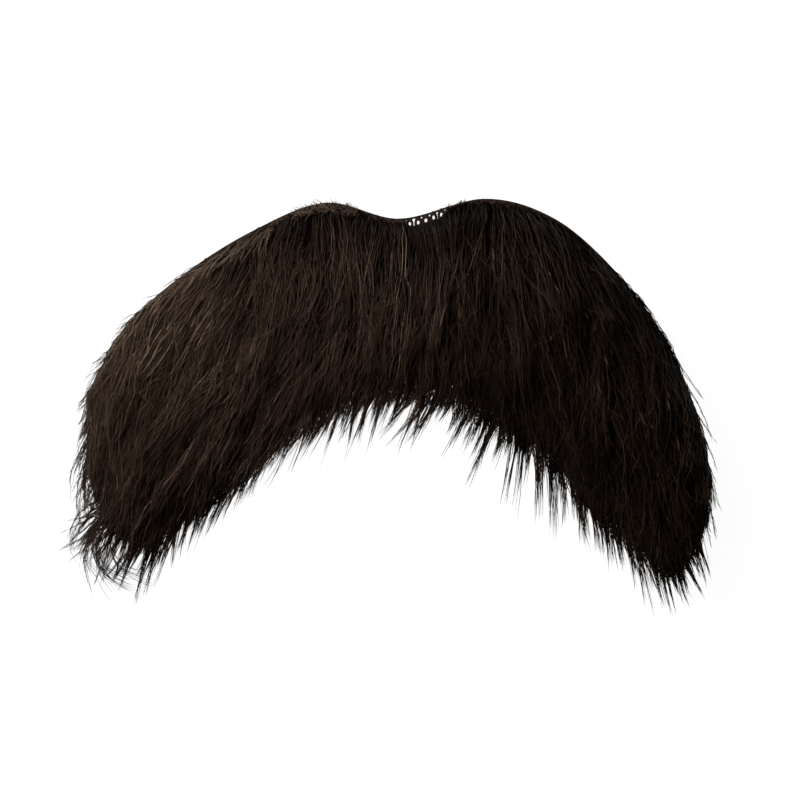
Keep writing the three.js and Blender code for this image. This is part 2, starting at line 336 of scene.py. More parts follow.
@functools.cache
def band_fit():
    """The scale and shift that lay the band over the frame's cloth."""
    along = np.linspace(0, 1, 500)
    outline = np.concatenate([unit_band(along, np.zeros_like(along)), unit_band(along, cloth_reach(along))])
    low, high = outline.min(axis=0), outline.max(axis=0)
    width = CLOTH_HIGH.x - CLOTH_LOW.x - 2 * EDGE_MARGIN
    height = CLOTH_HIGH.y - CLOTH_LOW.y - EDGE_MARGIN
    scale = np.array([width, height]) / (high - low)
    return scale, np.array([CLOTH_LOW.x + EDGE_MARGIN, CLOTH_LOW.y]) - low * scale


def band_point(along, across):
    scale, shift = band_fit()
    return unit_band(np.asarray(along, float), across) * scale + shift


def outward(along):
    """The way out over the top edge there, across the band."""
    along = np.asarray(along, float)
    way = band_point(along, np.zeros_like(along)) - band_point(along, np.ones_like(along))
    return way / np.linalg.norm(way, axis=-1, keepdims=True)


def stood_back(along, across):
    """The way in from the top edge that the cloth and its hair stand back where the loops of thread show."""
    from_end = np.minimum(along - LOOP_STRETCH[0], LOOP_STRETCH[1] - along)
    share = np.clip(from_end / LOOP_EASE, 0, 1) * np.clip(1 - np.asarray(across) / EDGE_ZONE, 0, 1)
    return outward(along) * (-LOOP_DEPTH * share)[..., None]


def tree_of(points):
    tree = KDTree(len(points))
    for number, point in enumerate(points):
        tree.insert((point[0], point[1], 0), number)
    tree.balance()
    return tree


def map_frame():
    low = np.array(CAD_BOX[0][:2]) - MAP_EDGE
    counts = np.ceil((np.array(CAD_BOX[1][:2]) + MAP_EDGE - low) / CELL).astype(int) + 1
    return low, counts


def blurred(grid, reach):
    """The grid averaged twice over squares of that reach."""
    width = 2 * round(reach / CELL) + 1
    kernel = np.ones(width) / width
    for axis in (0, 1, 0, 1):
        grid = np.apply_along_axis(
            lambda line: np.convolve(np.pad(line, width // 2, mode="edge"), kernel, mode="valid"), axis, grid
        )
    return grid


def drift(rng, shape, reach):
    """Random values from about -1 to 1 that change slowly over that reach."""
    grid = blurred(rng.normal(size=shape), reach)
    return grid / grid.std()


@functools.cache
def maps():
    """What a hair needs to know over the floor: the comb, the solid's height, the way out and so on."""
    low, counts = map_frame()
    cells = np.stack(np.meshgrid(*[np.arange(c) for c in counts], indexing="ij"), axis=-1)
    points = low + cells.reshape(-1, 2) * CELL

    stations = np.meshgrid(
        np.linspace(0, 1, LOOKUP_ALONG), np.linspace(0, LOOKUP_PAST_HEM, LOOKUP_ACROSS), indexing="ij"
    )
    along, across = (s.ravel() for s in stations)
    band = tree_of(band_point(along[across <= 1], across[across <= 1]))
    outside = np.array([band.find((x, y, 0))[2] for x, y in points]).reshape(counts)
    past_hem = tree_of(band_point(along, across))
    found = [past_hem.find((x, y, 0)) for x, y in points]
    nearest = np.array([f[1] for f in found])
    off_band = np.array([f[2] for f in found]).reshape(counts)
    along, across = along[nearest].reshape(counts), across[nearest].reshape(counts)
    hem_share = np.minimum(across, 1)
    comb = straight("comb_top", along) * (1 - hem_share) + straight("comb_hem", along) * hem_share

    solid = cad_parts["hair"].data
    tree = BVHTree.FromPolygons([v.co for v in solid.vertices], [p.vertices for p in solid.polygons])
    above = HAIR_HIGH.z + CELL
    height = np.zeros(len(points))
    for number, (x, y) in enumerate(points):
        hit = tree.ray_cast(Vector((x, y, above)), Vector((0, 0, -1)))[0]
        if hit is not None:
            height[number] = hit.z - CLOTH_TOP
    height = height.reshape(counts)

    on_cloth = (across < cloth_reach(along)) & (off_band < CELL)
    away_x, away_y = np.gradient(outside, CELL)
    rng = np.random.default_rng(11)
    return {
        "away_x": away_x,
        "away_y": away_y,
        "along": along,
        "across": across,
        "comb": blurred(comb, 2 * MM),
        "height": blurred(height, 0.75 * MM),
        "outside": np.maximum(outside - CELL, 0),
        "on_cloth": blurred(on_cloth.astype(float), 1.5 * MM),
        "sway": drift(rng, counts, 2.5 * MM),
        "swell": drift(rng, counts, 1.5 * MM),
        "shade": drift(rng, counts, 3 * MM),
    }


def read(name, places):
    """A map's value at each place, evenly between its cells."""
    low, counts = map_frame()
    at = np.clip((places - low) / CELL, 0, counts - 1.001)
    cell = at.astype(int)
    i, j = cell[..., 0], cell[..., 1]
    u, v = (at - cell)[..., 0], (at - cell)[..., 1]
    grid = maps()[name]
    near = grid[i, j] * (1 - v) + grid[i, j + 1] * v
    far = grid[i + 1, j] * (1 - v) + grid[i + 1, j + 1] * v
    return near * (1 - u) + far * u


def comb_paths(roots, lengths, lean, turn):
    """Where hairs run over the cloth: from their roots along the comb, in equal steps."""
    places = [roots]
    for step in range(PATH_STEPS):
        here = places[-1]
        angle = np.radians(read("comb", here) + lean + turn * step / PATH_STEPS)
        ahead = np.stack([np.sin(angle), -np.cos(angle)], axis=1)
        places.append(here + ahead * (lengths / PATH_STEPS)[:, None])
    return np.stack(places, axis=1)


def sideways(paths):
    """At each point of each path, the way square to it over the floor."""
    ahead = np.gradient(paths, axis=1)
    ahead /= np.maximum(np.linalg.norm(ahead, axis=2, keepdims=True), 1e-9)
    return np.stack([-ahead[..., 1], ahead[..., 0]], axis=-1)


def along_paths(paths, shares):
    """The points of each path at its own shares of the way."""
    at = np.clip(shares, 0, 1) * (paths.shape[1] - 1)
    step = np.minimum(at.astype(int), paths.shape[1] - 2)
    rest = (at - step)[..., None]
    rows = np.arange(len(paths))[:, None]
    return paths[rows, step] * (1 - rest) + paths[rows, step + 1] * rest


def rim_wisps():
    """Wisps along the free rim: where each leaves it, the way it points and how far its longest hairs reach."""
    rng = np.random.default_rng(17)
    along, across = (
        np.concatenate([np.linspace(a[axis], b[axis], RIM_STEPS) for a, b in zip(RIM, RIM[1:])])
        for axis in (0, 1)
    )
    steps = np.linalg.norm(np.diff(band_point(along, across), axis=0), axis=1)
    walked = np.concatenate([[0], np.cumsum(steps)])
    count = round(walked[-1] / sizes().rim_spacing)
    at = (np.arange(count) + rng.uniform(0, 1, count)) * walked[-1] / count
    along, across = np.interp(at, walked, along), np.interp(at, walked, across)
    angle = np.radians(straight("rim_comb", along) + rng.normal(0, RIM_WISP["lean"], count))
    return {
        "root": band_point(along, across),
        "way": np.stack([np.sin(angle), -np.cos(angle)], axis=1),
        "reach": straight("reach", along) * MM * np.clip(rng.gamma(4, 1 / 4, count), *RIM_WISP["reach"]),
    }


def met_at_rim(places, root, way, pinch):
    """The places again, drawn by each hair's own pinch towards the line of its wisp, past the rim."""
    from_root = places - root[:, None]
    ahead = (from_root * way[:, None]).sum(axis=-1, keepdims=True)
    aside = from_root - way[:, None] * ahead
    share = np.clip((ahead + PINCH_START) / (PINCH_END + PINCH_START), 0, 1)
    return places - aside * share**1.4 * pinch[:, None, None]


def held_in(places, allowed):
    """The places again, none of them farther outside the band than its own hair may be."""
    over = np.maximum(read("outside", places) - allowed[:, None], 0)
    away = np.stack([read("away_x", places), read("away_y", places)], axis=-1)
    return places - away * over[..., None]


def trimmed(paths, allowed):
    """The share of each path that stays within its own distance of the band's outline."""
    past = read("outside", paths) > allowed[:, None]
    first = np.where(past.any(axis=1), past.argmax(axis=1), PATH_STEPS + 1)
    return np.maximum(first - 1, 1) / PATH_STEPS


def full_length(roots):
    """How long a hair is that is rooted there."""
    by_row = np.interp(read("across", roots), ROOT_ACROSS, ROOT_LENGTH)
    return sizes().hair_length * by_row * straight("length", read("along", roots))


def standing(places, shares, depth, lift):
    """Hair points over the floor, raised to where they lie in the pile."""
    share = np.asarray(shares)
    on_cloth = read("on_cloth", places)
    under = FREE_HEIGHT + (CLOTH_TOP - FREE_HEIGHT) * on_cloth
    pile = np.maximum(read("height", places), LEAST_PILE)
    rising = 1 - (1 - np.minimum(share / RISING, 1)) ** 2
    height = under + depth * pile * rising + lift * share**2
    return np.concatenate([places, np.maximum(height, 0.15 * MM)[..., None]], axis=-1)


def tube_faces(rings):
    """The faces of one hair: sides from ring to ring, a closed root, and a point."""
    quads = []
    for ring in range(rings - 1):
        for side in range(SIDES):
            a, b = ring * SIDES + side, ring * SIDES + (side + 1) % SIDES
            quads.append((a, b, b + SIDES, a + SIDES))
    last, tip = (rings - 1) * SIDES, rings * SIDES
    points = [(last + side, last + (side + 1) % SIDES, tip) for side in range(SIDES)]
    return quads, [*points, tuple(reversed(range(SIDES)))]


def tube_map(shares):
    """The colour map's corners for the faces of one hair: across its tone, and along it from root to tip."""
    corners = []
    for ring in range(len(shares) - 1):
        low, high = shares[ring], shares[ring + 1]
        for side in range(SIDES):
            corners += [(side, low), (side + 1, low), (side + 1, high), (side, high)]
    for side in range(SIDES):
        corners += [(side, shares[-1]), (side + 1, shares[-1]), (side + 0.5, 1)]
    corners += [(2, 0), (1, 0), (0, 0.02)]
    return np.array(corners, float) * (TONE_WIDTH, 1)


def hair_mesh(name, lines, shares, radii, rolls, tones):
    """One mesh of closed, pointed hairs. lines holds each hair's points and, last, its tip."""
    count, rings = len(lines), len(shares)
    heading = np.gradient(lines, axis=1)
    heading /= np.linalg.norm(heading, axis=2, keepdims=True)
    side = np.stack([-heading[..., 1], heading[..., 0], np.zeros(heading.shape[:2])], axis=-1)
    side /= np.maximum(np.linalg.norm(side, axis=2, keepdims=True), 1e-9)
    upper = np.cross(heading, side)
    vertices = np.empty((count, rings * SIDES + 1, 3))
    for corner in range(SIDES):
        angle = rolls[:, None, None] + 2 * math.pi * corner / SIDES
        spoke = np.cos(angle) * side[:, :rings] + np.sin(angle) * upper[:, :rings]
        vertices[:, corner : rings * SIDES : SIDES] = lines[:, :rings] + spoke * radii[..., None]
    vertices[:, -1] = lines[:, -1]

    quads, triangles = tube_faces(rings)
    one = np.array([i for face in [*quads, *triangles] for i in face])
    totals = np.array([len(face) for face in [*quads, *triangles]])
    corners = (one + np.arange(count)[:, None] * vertices.shape[1]).ravel()
    starts = np.concatenate([[0], np.cumsum(np.tile(totals, count))[:-1]])
    uv = np.tile(tube_map(shares), (count, 1, 1))
    uv[..., 0] += tones[:, None]

    mesh = bpy.data.meshes.new(name)
    mesh.vertices.add(vertices.shape[0] * vertices.shape[1])
    mesh.vertices.foreach_set("co", vertices.astype(np.float32).ravel())
    mesh.loops.add(len(corners))
    mesh.loops.foreach_set("vertex_index", corners.astype(np.int32))
    mesh.polygons.add(len(starts))
    mesh.polygons.foreach_set("loop_start", starts.astype(np.int32))
    mesh.polygons.foreach_set("use_smooth", np.ones(len(starts), bool))
    mesh.uv_layers.new(name="OFBake").data.foreach_set("uv", uv.astype(np.float32).ravel())
    mesh.update(calc_edges=True)
    piece = bpy.data.objects.new(name, mesh)
    bpy.context.collection.objects.link(piece)
    return piece


def kinked(rng, lines, amount):
    """The lines again, each point but the root moved a little off them."""
    stray = rng.normal(size=lines.shape) * amount
    stray[:, 0] = 0
    stray[:, :, 2] *= 0.6
    return lines + stray


def scattered_roots(rng, count):
    """Roots spread evenly over the cloth's area."""
    low, high = np.array(CAD_BOX[0][:2]), np.array(CAD_BOX[1][:2])
    found = np.empty((0, 2))
    while len(found) < count:
        tried = rng.uniform(low, high, size=(count, 2))
        found = np.concatenate([found, tried[read("on_cloth", tried) > 0.5]])
    return found[:count]


def wisp_roots(rng):
    """Roots of the wisps: a staggered grid over the cloth, shaken."""
    spacing = sizes().wisp_spacing
    low, high = np.array(CAD_BOX[0][:2]), np.array(CAD_BOX[1][:2])
    columns, rows = np.ceil((high - low) / spacing).astype(int)
    grid = np.stack(np.meshgrid(np.arange(columns), np.arange(rows), indexing="ij"), axis=-1).astype(float)
    grid[:, ::2, 0] += 0.5
    roots = low + grid.reshape(-1, 2) * spacing + rng.uniform(-0.4, 0.4, (columns * rows, 2)) * spacing
    return roots[read("on_cloth", roots) > 0.4]


def comb_hair(rng):
    """Lines of all the combed hairs, and what their mesh needs. Hairs run side by side and meet in wisps."""
    size = sizes()
    wisps = wisp_roots(rng)
    wisp_lean = WISP["sway"] * read("sway", wisps) + rng.normal(0, WISP["lean"], len(wisps))
    wisp_turn = rng.normal(0, WISP["turn"], len(wisps))
    wisp_length = full_length(wisps) * rng.uniform(*WISP["length"], len(wisps))
    wisp_paths = comb_paths(wisps, wisp_length, wisp_lean, wisp_turn)
    wisp_lift = rng.normal(0, WISP["lift"], len(wisps)) * MM
    wisp_stray = rng.gamma(1, 1, len(wisps))
    wisp_tone = rng.normal(0, WISP["tone"], len(wisps))
    wisp_wave = {"turns": rng.uniform(*WISP["waves"], len(wisps)), "phase": rng.uniform(0, 1, len(wisps))}

    edge_along = rng.uniform(0, 1, size.edge_hair_count)
    edge_roots = band_point(edge_along, rng.uniform(0, 0.03, size.edge_hair_count))
    roots = np.concatenate([scattered_roots(rng, size.hair_count), edge_roots])
    roots = roots + stood_back(read("along", roots), read("across", roots))
    tree = tree_of(wisps)
    shaken = roots + rng.normal(0, HAIR["shake"], roots.shape) * size.wisp_spacing
    wisp = np.array([tree.find((x, y, 0))[1] for x, y in shaken])
    lean = wisp_lean[wisp] + rng.normal(0, HAIR["lean"], len(roots))
    lengths = full_length(roots) * rng.uniform(*HAIR["length"], len(roots))
    paths = comb_paths(roots, lengths, lean, wisp_turn[wisp] + rng.normal(0, HAIR["turn"], len(roots)))

    past = read("outside", paths) > 0
    leaving = np.where(past.any(axis=1), past.argmax(axis=1), PATH_STEPS)
    exits = paths[np.arange(len(paths)), leaving]
    rim = rim_wisps()
    rim_tree = tree_of(rim["root"])
    at_rim = np.array([rim_tree.find((x, y, 0))[1] for x, y in exits])
    reach = rim["reach"][at_rim]
    outer = read("across", exits) < OUTER_SIDE
    stray = straight("stray", read("along", exits)) * MM * wisp_stray[wisp] * rng.beta(2.5, 1, len(roots))
    allowed = np.where(outer, stray, HEM_ALLOWED + reach * rng.beta(1.1, 1.9, len(roots)))
    cut = trimmed(paths, allowed)

    shares = np.array([*RINGS, 1.0])
    own = along_paths(paths, cut[:, None] * shares)
    shared = along_paths(wisp_paths[wisp], np.minimum(cut[:, None] * shares, 1))
    gathering = size.gathering * rng.beta(3.5, 1.2, len(roots))
    pull = gathering[:, None] * shares
    places = own + (shared - own) * pull[..., None]
    along_root = read("along", roots)
    near_edge = np.clip(1 - read("across", roots) / EDGE_ZONE, 0, 1)
    bow = near_edge * size.edge_bulge * straight("stray", along_root)
    bow = np.minimum(bow, 1.2 * MM) * rng.uniform(0.3, 1.2, len(roots))
    bump = np.sin(math.pi * np.clip(shares / 0.5, 0, 1))
    places += outward(along_root)[:, None] * (bow[:, None] * bump)[..., None]
    turns = cut[:, None] * shares * wisp_wave["turns"][wisp][:, None] + wisp_wave["phase"][wisp][:, None]
    swing = size.wave * np.sin(2 * math.pi * turns) * np.sqrt(shares) * rng.uniform(0.5, 1.3, (len(roots), 1))
    places += sideways(places) * swing[..., None]
    pinch = np.where(outer, 0, np.clip(allowed / PINCH_END, 0.25, 1) * rng.uniform(0.75, 0.97, len(roots)))
    places = met_at_rim(places, rim["root"][at_rim], rim["way"][at_rim], pinch)
    places = held_in(places, np.where(outer, np.maximum(allowed, 0.15 * MM), np.inf))
    depth = 1.02 - 0.72 * rng.random(len(roots)) ** 1.7
    lift = wisp_lift[wisp] + rng.normal(0.25, 0.5, len(roots)) * MM
    swell = 0.6 * MM * read("swell", places)
    lines = standing(places, shares, depth[:, None], lift[:, None])
    lines[..., 2] += swell * shares
    short = np.clip(lengths * cut / KINK_LENGTH, 0.2, 1)[:, None]
    free = 1 - 0.85 * np.clip(read("outside", places) / PINCH_END, 0, 1)
    lines = kinked(rng, lines, (size.kink * short * free)[..., None])
    lines[..., 2] = np.maximum(lines[..., 2], FLOOR_GAP)

    thickness = size.hair_thickness * rng.uniform(*HAIR["thickness"], len(roots))
    # each hair's own random tone, plus the painted shade of the tone row, which darkens it towards the right
    # end
    tone_and_painted_shade = rng.beta(2.2, 3.2, len(roots)) + straight("tone", along_root)
    tones = np.clip(tone_and_painted_shade + 0.1 * read("shade", roots) + wisp_tone[wisp], 0, 1)
    return {
        "lines": lines,
        "radii": thickness[:, None] / 2 * np.array(TAPER),
        "rolls": rng.uniform(0, 2 * math.pi, len(roots)),
        "tones": tones * (1 - SIDES * TONE_WIDTH),
        "along": read("along", wisps)[wisp],
    }


def loose_hair(rng, group):
    """Lines of one group of loose hairs, and each one's tone. The hairs of a strand run side by side."""
    strand = np.repeat(np.arange(group["strands"]), group["hairs"])
    count = len(strand)
    drawn = {
        key: rng.uniform(*group[key], group["strands"])[strand]
        for key in ("along", "across", "length", "lean", "turn", "reach", "lift", "tone")
    }
    roots = band_point(drawn["along"], drawn["across"])
    lengths = drawn["length"] * MM * rng.uniform(0.8, 1, count)
    paths = comb_paths(roots, lengths, drawn["lean"], drawn["turn"])
    shares = np.array([*CURL_RINGS, 1.0])
    cut = trimmed(paths, drawn["reach"] * MM * rng.uniform(0.75, 1, count))
    places = along_paths(paths, cut[:, None] * shares)
    apart = rng.normal(0, group["spread"], (count, 1)) * MM * (1 - 0.6 * shares)
    places += sideways(places) * apart[..., None]
    depth = rng.uniform(0.85, 1.05, count)[:, None]
    lines = standing(places, shares, depth, drawn["lift"][:, None] * MM)
    lines = kinked(rng, lines, group["kink"] * MM)
    lines[..., 2] = np.maximum(lines[..., 2], FLOOR_GAP)
    return lines, drawn["tone"]


def fringe_hair(rng):
    """Lines of the long hairs that lie in the wisps of the fringe, from inside the rim to each wisp's tip."""
    rim = rim_wisps()
    wisps = len(rim["root"])
    wisp = np.repeat(np.arange(wisps), sizes().fringe_hairs)
    count = len(wisp)
    rim_place, way = rim["root"][wisp], rim["way"][wisp]
    comb = np.radians(read("comb", rim_place))
    combed = np.stack([np.sin(comb), -np.cos(comb)], axis=1)
    root = rim_place - combed * rng.uniform(*FRINGE_ROOT, (count, 1))
    tip = rim_place + way * (rim["reach"][wisp] * rng.uniform(0.5, 1.05, count))[:, None]

    shares = np.array([*FRINGE_RINGS, 1.0])
    t = shares[:, None]
    places = root[:, None] * (1 - t) ** 2 + 2 * rim_place[:, None] * t * (1 - t) + tip[:, None] * t**2
    spread = np.interp(shares, FRINGE_SPREAD["share"], FRINGE_SPREAD["width"])
    curl = rng.normal(0, 0.5, wisps)[wisp] + rng.normal(0, 0.2, count)
    aside = rng.uniform(-1, 1, (count, 1)) * spread + curl[:, None] * MM * shares**2
    places += sideways(places) * aside[..., None]
    depth = rng.uniform(0.55, 1.02, (count, 1))
    lift = rng.normal(0, 0.5, (count, 1)) * MM
    return kinked(rng, standing(places, shares, depth, lift), 0.05 * MM)


def select_only(piece):
    """Nothing else is selected, so that an operator acts on this piece alone."""
    bpy.ops.object.select_all(action="DESELECT")
    piece.select_set(True)
    bpy.context.view_layer.objects.active = piece


def apply_modifier(piece, kind, name, **values):
    select_only(piece)
    modifier = piece.modifiers.new(name, kind)
    for key, value in values.items():
        setattr(modifier, key, value)
    bpy.ops.object.modifier_apply(modifier=name)


def band_grid(name, columns, rows, place):
    """A grid primitive laid over the band: place gives its points for along and down, both from 0 to 1."""
    bpy.ops.object.select_all(action="DESELECT")
    bpy.ops.mesh.primitive_grid_add(x_subdivisions=columns, y_subdivisions=rows, size=1, location=(0, 0, 0))
    piece = bpy.context.active_object
    piece.name = piece.data.name = name
    flat = np.empty(len(piece.data.vertices) * 3, np.float32)
    piece.data.vertices.foreach_get("co", flat)
    flat = flat.reshape(-1, 3)
    points = place(flat[:, 0] + 0.5, 0.5 - flat[:, 1])
    piece.data.vertices.foreach_set("co", points.astype(np.float32).ravel())
    piece.data.update()
    return piece


def recalculate_normals(piece):
    select_only(piece)
    bpy.ops.object.mode_set(mode="EDIT")
    bpy.ops.mesh.select_all(action="SELECT")
    bpy.ops.mesh.normals_make_consistent(inside=False)
    bpy.ops.object.mode_set(mode="OBJECT")


def material(name):
    """A new material with its nodes, its Principled shader, and its output kept."""
    made = bpy.data.materials.new(name)
    made.use_nodes = True
    nodes, links = made.node_tree.nodes, made.node_tree.links
    return made, nodes, links, nodes["Principled BSDF"]


def hair_material():
    """Hair: each fibre has its own tone, with painted shade that darkens it towards its root, deep in the pile,
    and a soft gloss.
    """
    made, nodes, links, shader = material("combed hair")
    place = nodes.new("ShaderNodeUVMap")
    place.uv_map = "OFBake"
    split = nodes.new("ShaderNodeSeparateXYZ")
    links.new(place.outputs["UV"], split.inputs["Vector"])
    tones = nodes.new("ShaderNodeValToRGB")
    for number, (position, colour) in enumerate(HAIR_TONES):
        stop = tones.color_ramp.elements[number] if number < 2 else tones.color_ramp.elements.new(position)
        stop.position = position
        stop.color = (*colour, 1)
    links.new(split.outputs["X"], tones.inputs["Fac"])
    # painted shade: each hair's colour falls to 0.3 of its tone at the root, where it lies deep in the pile
    root_painted_shade = nodes.new("ShaderNodeMapRange")
    root_painted_shade.inputs["From Max"].default_value = 0.6
    root_painted_shade.inputs["To Min"].default_value = 0.3
    links.new(split.outputs["Y"], root_painted_shade.inputs["Value"])
    shaded = nodes.new("ShaderNodeMix")
    shaded.data_type = "RGBA"
    shaded.blend_type = "MULTIPLY"
    shaded.inputs["Factor"].default_value = 1
    links.new(tones.outputs["Color"], shaded.inputs[6])
    links.new(root_painted_shade.outputs["Result"], shaded.inputs[7])
    links.new(shaded.outputs[2], shader.inputs["Base Color"])
    gloss = nodes.new("ShaderNodeMapRange")
    gloss.inputs["To Min"].default_value = 0.5
    gloss.inputs["To Max"].default_value = 0.34
    links.new(split.outputs["X"], gloss.inputs["Value"])
    links.new(gloss.outputs["Result"], shader.inputs["Roughness"])
    shader.inputs["Specular IOR Level"].default_value = 0.06
    shader.inputs["Specular Tint"].default_value = (1, 0.82, 0.68, 1)
    return made


def named_material(name, make):
    return bpy.data.materials.get(name) or make()


def fibre_grain_group():
    """Fine fibres and small unevenness, as a mask from 0 to 1 and a height."""
    found = bpy.data.node_groups.get("Fibre Grain")
    if found:
        return found
    group = bpy.data.node_groups.new("Fibre Grain", "ShaderNodeTree")
    group.interface.new_socket("Vector", in_out="INPUT", socket_type="NodeSocketVector")
    group.interface.new_socket("Scale", in_out="INPUT", socket_type="NodeSocketFloat")
    group.interface.new_socket("Mask", in_out="OUTPUT", socket_type="NodeSocketFloat")
    nodes, links = group.nodes, group.links
    source, sink = nodes.new("NodeGroupInput"), nodes.new("NodeGroupOutput")
    noise = nodes.new("ShaderNodeTexNoise")
    noise.inputs["Detail"].default_value = 6
    noise.inputs["Roughness"].default_value = 0.65
    links.new(source.outputs["Vector"], noise.inputs["Vector"])
    links.new(source.outputs["Scale"], noise.inputs["Scale"])
    links.new(noise.outputs["Fac"], sink.inputs["Mask"])
    return group


def add_grain(nodes, links, scale):
    """The fibre grain on object coordinates, at that many per metre."""
    place = nodes.new("ShaderNodeTexCoord")
    grain = nodes.new("ShaderNodeGroup")
    grain.node_tree = fibre_grain_group()
    grain.inputs["Scale"].default_value = scale
    links.new(place.outputs["Object"], grain.inputs["Vector"])
    return place, grain


def knit_material():
    """Close-knit cloth: columns of small leaning stitches, matt and a little fuzzy."""
    made, nodes, links, shader = material("knitted cloth")
    place, grain = add_grain(nodes, links, 1400)
    waves = []
    for turn in (math.radians(32), math.radians(-32)):
        mapping = nodes.new("ShaderNodeMapping")
        mapping.inputs["Rotation"].default_value = (0, 0, turn)
        links.new(place.outputs["Object"], mapping.inputs["Vector"])
        wave = nodes.new("ShaderNodeTexWave")
        wave.bands_direction = "Y"
        wave.inputs["Scale"].default_value = 260
        wave.inputs["Distortion"].default_value = 0.6
        links.new(mapping.outputs["Vector"], wave.inputs["Vector"])
        waves.append(wave)
    columns = nodes.new("ShaderNodeTexWave")
    columns.bands_direction = "X"
    columns.inputs["Scale"].default_value = 120
    links.new(place.outputs["Object"], columns.inputs["Vector"])
    side = nodes.new("ShaderNodeMath")
    side.operation = "GREATER_THAN"
    side.inputs[1].default_value = 0.5
    links.new(columns.outputs["Fac"], side.inputs[0])
    stitch = nodes.new("ShaderNodeMix")
    links.new(side.outputs["Value"], stitch.inputs["Factor"])
    links.new(waves[0].outputs["Fac"], stitch.inputs[2])
    links.new(waves[1].outputs["Fac"], stitch.inputs[3])
    fuzz = nodes.new("ShaderNodeMath")
    fuzz.operation = "MULTIPLY_ADD"
    fuzz.inputs[1].default_value = 0.5
    links.new(grain.outputs["Mask"], fuzz.inputs[0])
    links.new(stitch.outputs[0], fuzz.inputs[2])
    shade = nodes.new("ShaderNodeMix")
    shade.data_type = "RGBA"
    shade.inputs[6].default_value = (*colours().cloth_gap, 1)
    shade.inputs[7].default_value = (*colours().cloth, 1)
    links.new(fuzz.outputs["Value"], shade.inputs["Factor"])
    links.new(shade.outputs[2], shader.inputs["Base Color"])
    bump = nodes.new("ShaderNodeBump")
    bump.inputs["Distance"].default_value = 0.25 * MM
    links.new(fuzz.outputs["Value"], bump.inputs["Height"])
    links.new(bump.outputs["Normal"], shader.inputs["Normal"])
    shader.inputs["Roughness"].default_value = 0.95
    shader.inputs["Specular IOR Level"].default_value = 0.03
    return made


def thread_material():
    """Dark twisted thread of the edge loops."""
    made, nodes, links, shader = material("edge thread")
    _, grain = add_grain(nodes, links, 2500)
    shade = nodes.new("ShaderNodeMix")
    shade.data_type = "RGBA"
    shade.inputs[6].default_value = (*colours().cloth_gap, 1)
    shade.inputs[7].default_value = (*colours().cloth, 1)
    links.new(grain.outputs["Mask"], shade.inputs["Factor"])
    links.new(shade.outputs[2], shader.inputs["Base Color"])
    shader.inputs["Roughness"].default_value = 0.9
    shader.inputs["Specular IOR Level"].default_value = 0.05
    return made


def under_hair_painted_shade_material():
    """The depth of the pile, streaked like hair, painted darker than the hair's own colours as the shade deep
    among the hairs.
    """
    made, nodes, links, shader = material("under hair")
    place = nodes.new("ShaderNodeTexCoord")
    stretch = nodes.new("ShaderNodeMapping")
    stretch.inputs["Scale"].default_value = (1, 0.12, 0.12)
    links.new(place.outputs["Object"], stretch.inputs["Vector"])
    grain = nodes.new("ShaderNodeGroup")
    grain.node_tree = fibre_grain_group()
    grain.inputs["Scale"].default_value = 3500
    links.new(stretch.outputs["Vector"], grain.inputs["Vector"])
    shade = nodes.new("ShaderNodeMix")
    shade.data_type = "RGBA"
    # painted shade: both colours are darker than the hair it stands for, for the shade deep in the pile
    shade.inputs[6].default_value = (0.002, 0.0015, 0.0012, 1)
    shade.inputs[7].default_value = (0.011, 0.0075, 0.006, 1)
    links.new(grain.outputs["Mask"], shade.inputs["Factor"])
    links.new(shade.outputs[2], shader.inputs["Base Color"])
    bump = nodes.new("ShaderNodeBump")
    bump.inputs["Distance"].default_value = 0.4 * MM
    links.new(grain.outputs["Mask"], bump.inputs["Height"])
    links.new(bump.outputs["Normal"], shader.inputs["Normal"])
    shader.inputs["Roughness"].default_value = 0.8
    shader.inputs["Specular IOR Level"].default_value = 0.04
    return made


def dress(piece, finish):
    piece.data.materials.clear()
    piece.data.materials.append(finish)


class MakeCloth(bpy.types.Operator):
    """Lay the knitted cloth that carries the hair."""

    bl_idname = "moustache.make_cloth"
    bl_label = "Cloth"

    def execute(self, context):
        def place(along, down):
            across = down * cloth_reach(along)
            margin = EDGE_MARGIN * (down == 0)
            flat = band_point(along, across) + outward(along) * margin[:, None] + stood_back(along, across)
            return np.column_stack([flat, np.full(len(flat), CLOTH_TOP)])

        cloth = band_grid("backing_cloth", 260, 22, place)
        apply_modifier(cloth, "SOLIDIFY", "thickness", thickness=CLOTH_THICKNESS - 0.02 * MM, offset=-1)
        recalculate_normals(cloth)
        dress(cloth, knit_material())
        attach(cloth, "root")
        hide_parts("backing")
        return {"FINISHED"}


